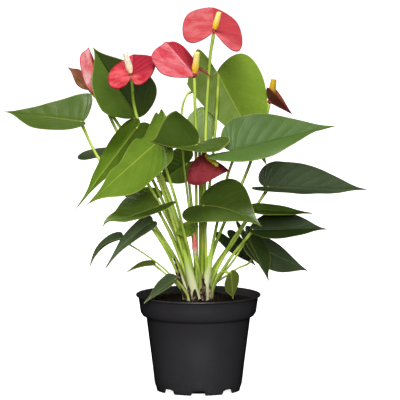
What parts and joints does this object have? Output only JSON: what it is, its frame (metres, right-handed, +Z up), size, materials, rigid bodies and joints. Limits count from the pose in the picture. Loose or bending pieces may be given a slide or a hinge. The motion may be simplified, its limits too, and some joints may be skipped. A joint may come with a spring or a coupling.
{
  "type": "potted anthurium",
  "caption": "Flamingo flower in a round black nursery pot: heart-shaped glossy leaves on long stalks, with red bracts and bumpy yellow spikes above them.",
  "frame": {"origin": "middle of the pot's underside, in the plane it stands on", "axes": "+Z up along the pot's axis, -Y towards the viewer of the picture, +X to the viewer's right"},
  "size_m": [0.3521, 0.1982, 0.3665],
  "materials": {
    "pot_plastic": "satin",
    "soil": "rough crumbs of peat",
    "leaf": "glossy cuticle",
    "flower_stem": "smooth, satin",
    "bract": "waxy gloss",
    "spike": "fine bumps, satin",
    "withered_sheath": "dry and papery"
  },
  "bodies": {
    "root": {"pot": "pot_plastic", "soil": "soil", "leaf_01": "leaf", "leaf_02": "leaf", "leaf_03": "leaf", "leaf_04": "leaf", "leaf_05": "leaf", "leaf_06": "leaf", "leaf_07": "leaf", "leaf_08": "leaf", "leaf_09": "leaf", "leaf_10": "leaf", "leaf_11": "leaf", "leaf_12": "leaf", "leaf_13": "leaf", "leaf_14": "leaf", "leaf_15": "leaf", "leaf_16": "leaf", "leaf_17": "leaf", "leaf_18": "leaf", "leaf_19": "leaf", "leaf_20": "leaf", "leaf_21": "leaf", "leaf_22": "leaf", "leaf_23": "leaf", "leaf_24": "leaf", "leaf_25": "leaf", "leaf_26": "leaf", "flower_1_stem": "flower_stem", "flower_1_bract": "bract", "flower_1_spike": "spike", "flower_2_stem": "flower_stem", "flower_2_bract": "bract", "flower_2_spike": "spike", "flower_3_stem": "flower_stem", "flower_3_bract": "bract", "flower_3_spike": "spike", "flower_4_stem": "flower_stem", "flower_4_bract": "bract", "flower_4_spike": "spike", "flower_5_stem": "flower_stem", "flower_5_bract": "bract", "flower_5_spike": "spike", "flower_6_stem": "flower_stem", "flower_6_bract": "bract", "flower_6_spike": "spike", "flower_8_stem": "flower_stem", "flower_8_bract": "bract", "flower_8_spike": "spike", "flower_7_stem": "flower_stem", "flower_7_bract": "bract", "stub_1": "withered_sheath", "stub_2": "withered_sheath", "stub_3": "withered_sheath"}
  },
  "joints": []
}
